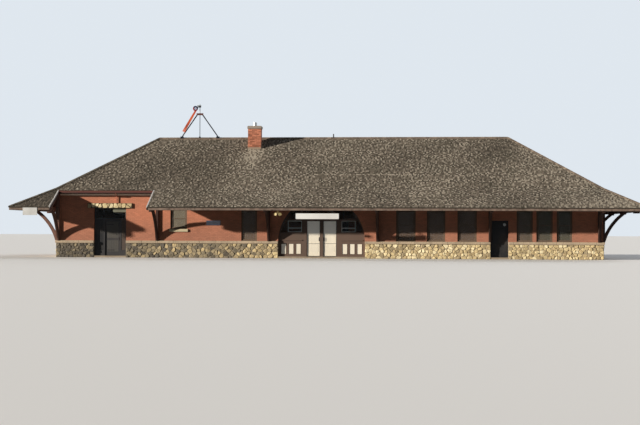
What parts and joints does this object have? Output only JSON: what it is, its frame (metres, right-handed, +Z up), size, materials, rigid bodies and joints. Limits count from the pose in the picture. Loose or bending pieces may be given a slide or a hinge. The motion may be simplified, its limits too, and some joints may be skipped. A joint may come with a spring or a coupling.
{
  "type": "railway station building",
  "caption": "Long single-storey brick railway station on a fieldstone base, with a bell-cast hipped shake roof on curved brackets, an arched entrance and a ridge signal.",
  "frame": {"origin": "on the ground at the middle of the building's plan", "axes": "+X along the building, to the right seen from the front; the front with the arched entrance faces -Y; +Z up"},
  "size_m": [35.5, 14.3, 9.29],
  "materials": {
    "blind": "greyish-green blind",
    "board": "white painted board, bare",
    "brick": "painted terracotta brick, matt",
    "cap_stone": "pale dressed stone",
    "chimney_brick": "bare orange-red brick",
    "concrete": "grey concrete",
    "door": "charcoal paint",
    "entrance": "brown paint",
    "entrance_door": "cream panels in dark stiles",
    "fascia": "faded pinkish-brown paint",
    "floor": "worn concrete floor",
    "flue": "bare sheet metal",
    "glass": "dark window glass",
    "gutter": "dark red paint",
    "lamp": "yellowed lamp housing",
    "navy": "navy painted board, bare",
    "screen": "charcoal paint",
    "shakes": "weathered grey-brown wood shakes",
    "signal_red": "sun-faded orange-red paint",
    "steel": "dark painted steel",
    "stone": "rough fieldstone in pale mortar",
    "timber": "dark brown-red paint",
    "white_trim": "white painted trim",
    "window_paint": "grey-brown paint"
  },
  "bodies": {
    "station": {"barge_boards": "white_trim", "base_cap": "cap_stone", "bracket_braces": "timber", "bracket_outriggers": "timber", "bracket_posts": "timber", "chimney_cap": "concrete", "chimney_flue": "flue", "chimney_stack": "chimney_brick", "door_sills": "cap_stone", "eave_ends": "shakes", "eave_front": "shakes", "eave_plates_end": "timber", "eave_plates_long": "timber", "eave_rear": "shakes", "eave_stub": "shakes", "end_walls": "brick", "entrance_glass": "glass", "entrance_screen": "entrance", "fascia_end": "fascia", "fascia_long": "fascia", "floor_slab": "floor", "freight_frieze": "cap_stone", "freight_glass": "glass", "freight_gutter": "gutter", "freight_lintel": "stone", "freight_screen": "screen", "front_wall_arch": "brick", "front_wall_left": "brick", "front_wall_mid_left": "brick", "front_wall_mid_right": "brick", "front_wall_over_doors": "brick", "front_wall_right": "brick", "gutter_downpipe": "gutter", "name_board": "board", "notice_board": "board", "rear_doors": "door", "rear_wall": "brick", "ridge_cap": "shakes", "ridge_vent": "steel", "roof_front_slope": "shakes", "roof_hips": "shakes", "roof_rear_slope": "shakes", "side_door_frame": "door", "signal_frame": "steel", "stone_base": "stone", "twin_lamp": "lamp", "wall_board": "navy", "window_blinds": "blind", "window_frames": "window_paint", "window_glass": "glass", "window_sills": "cap_stone"},
    "freight_door_leaf": {"freight_door_leaf": "screen"},
    "entrance_door_left": {"entrance_door_left": "entrance_door"},
    "entrance_door_right": {"entrance_door_right": "entrance_door"},
    "side_door_leaf": {"side_door_leaf": "door"},
    "signal_arm": {"signal_arm": "signal_red"}
  },
  "joints": [
    {"name": "freight_door_hinge", "type": "hinge", "parent": "station", "child": "freight_door_leaf", "pos_m": [-12.776, -4.736, 1.1], "axis": [0, 0, 1], "range_deg": [0, 90]},
    {"name": "entrance_left_hinge", "type": "hinge", "parent": "station", "child": "entrance_door_left", "pos_m": [-1.087, -4.736, 1.1], "axis": [0, 0, 1], "range_deg": [0, 90]},
    {"name": "entrance_right_hinge", "type": "hinge", "parent": "station", "child": "entrance_door_right", "pos_m": [0.607, -4.736, 1.1], "axis": [0, 0, -1], "range_deg": [0, 90]},
    {"name": "side_door_hinge", "type": "hinge", "parent": "station", "child": "side_door_leaf", "pos_m": [9.379, -4.736, 1.1], "axis": [0, 0, 1], "range_deg": [0, 90]},
    {"name": "signal_arm_hinge", "type": "hinge", "parent": "station", "child": "signal_arm", "pos_m": [-8.2, -0.05, 9.16], "axis": [0, 1, 0], "range_deg": [0, 60]}
  ]
}
